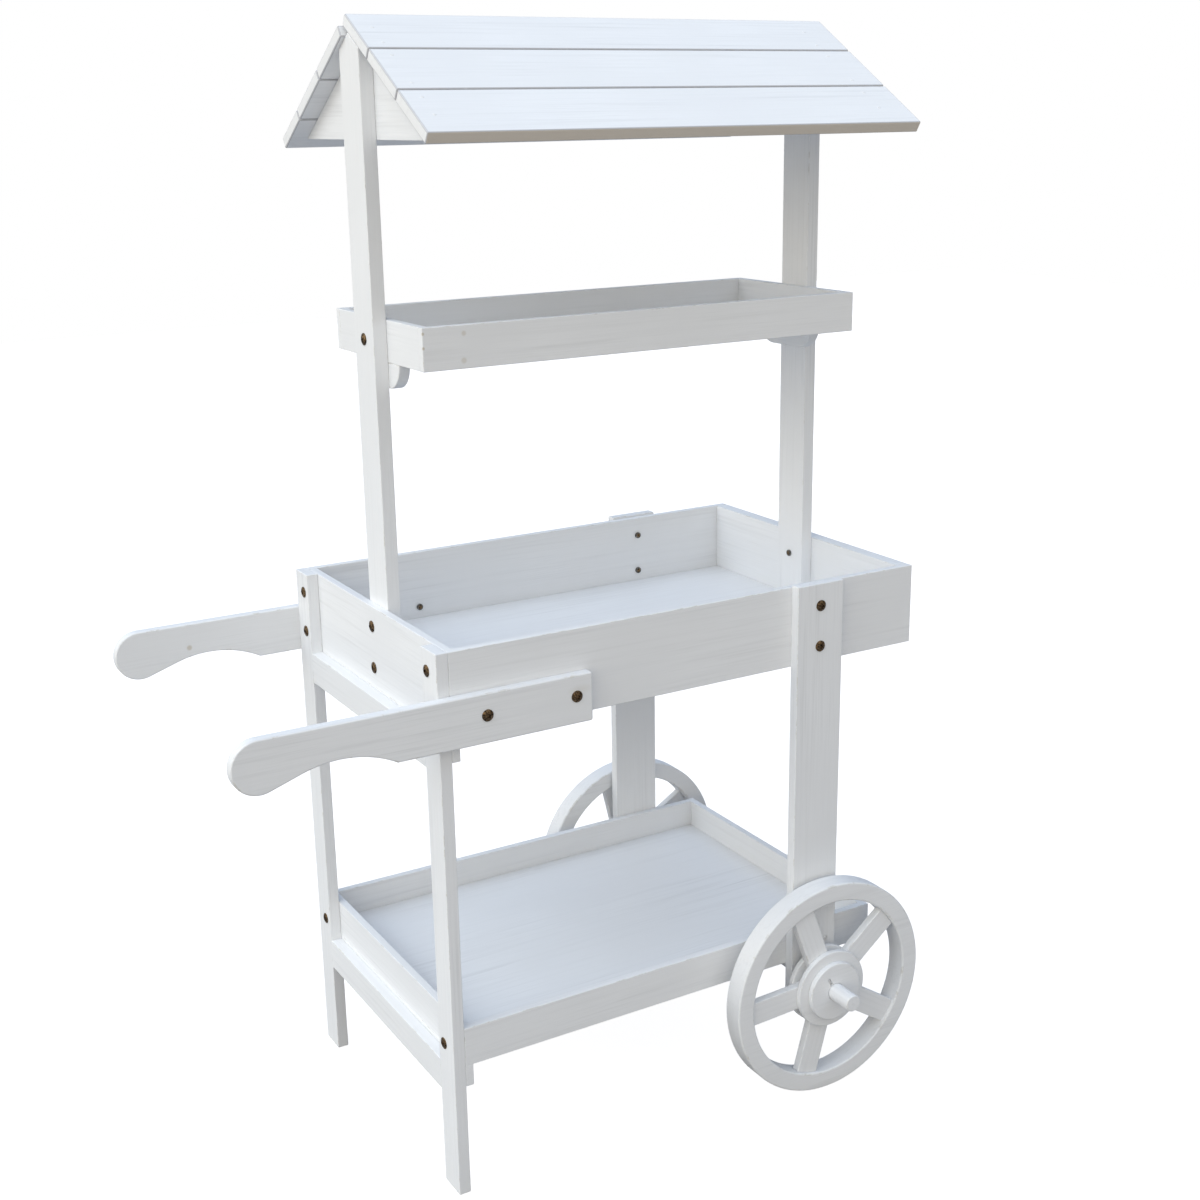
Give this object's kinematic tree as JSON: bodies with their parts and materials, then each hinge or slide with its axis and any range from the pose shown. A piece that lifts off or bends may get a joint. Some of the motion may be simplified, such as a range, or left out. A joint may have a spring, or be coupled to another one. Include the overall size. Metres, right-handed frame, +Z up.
{
  "type": "push vending cart",
  "caption": "Painted wooden market cart with a main tray, a lower tray and a raised shelf under a gable roof, with flat handles at one end and spoked wheels at the other.",
  "frame": {"origin": "on the ground in the middle of the cart's bounding box", "axes": "+X from the handle end to the wheel end, +Y to the left hand of the person pushing, +Z up"},
  "size_m": [0.981, 0.66, 1.45],
  "materials": {
    "painted_wood": "matte white paint, brushed on",
    "bronzed_steel": "dark antique bronze",
    "zinc_steel": "zinc plated"
  },
  "bodies": {
    "frame": {"leg_right": "painted_wood", "leg_left": "painted_wood", "leg_rail_upper": "painted_wood", "leg_rail_lower": "painted_wood", "main_tray_bearer": "painted_wood", "lower_tray_bearer": "painted_wood", "wheel_leg_right": "painted_wood", "wheel_leg_left": "painted_wood", "main_tray_side_right": "painted_wood", "main_tray_side_left": "painted_wood", "main_tray_end_handle": "painted_wood", "main_tray_end_wheel": "painted_wood", "main_tray_floor": "painted_wood", "lower_tray_side_right": "painted_wood", "lower_tray_side_left": "painted_wood", "lower_tray_end_handle": "painted_wood", "lower_tray_end_wheel": "painted_wood", "lower_tray_floor": "painted_wood", "shelf_side_right": "painted_wood", "shelf_side_left": "painted_wood", "shelf_end_handle": "painted_wood", "shelf_end_wheel": "painted_wood", "shelf_floor": "painted_wood", "shelf_bracket_handle": "painted_wood", "shelf_bracket_wheel": "painted_wood", "post_handle": "painted_wood", "post_wheel": "painted_wood", "gable_board_handle": "painted_wood", "gable_board_wheel": "painted_wood", "roof_plank_right_ridge": "painted_wood", "roof_plank_right_middle": "painted_wood", "roof_plank_right_eave": "painted_wood", "roof_plank_left_ridge": "painted_wood", "roof_plank_left_middle": "painted_wood", "roof_plank_left_eave": "painted_wood", "roof_nails": "zinc_steel", "handle_right": "painted_wood", "handle_left": "painted_wood", "leg_bolts": "bronzed_steel", "post_bolts": "bronzed_steel", "shelf_bolts": "bronzed_steel", "handle_bolts": "bronzed_steel", "wheel_leg_bolts": "bronzed_steel", "sleeve_nuts": "bronzed_steel", "lower_tray_screws": "zinc_steel", "axle": "painted_wood", "axle_spacers": "painted_wood", "axle_collars": "painted_wood"},
    "wheel_right": {"wheel_right_rim": "painted_wood", "wheel_right_spokes": "painted_wood", "wheel_right_hub_front": "painted_wood", "wheel_right_hub_back": "painted_wood"},
    "wheel_left": {"wheel_left_rim": "painted_wood", "wheel_left_spokes": "painted_wood", "wheel_left_hub_front": "painted_wood", "wheel_left_hub_back": "painted_wood"}
  },
  "joints": [
    {"name": "wheel_right_spin", "type": "hinge", "parent": "frame", "child": "wheel_right", "pos_m": [0.324, -0.264, 0.156], "axis": [0, 1, 0], "continuous": true},
    {"name": "wheel_left_spin", "type": "hinge", "parent": "frame", "child": "wheel_left", "pos_m": [0.324, 0.264, 0.156], "axis": [0, 1, 0], "continuous": true}
  ]
}
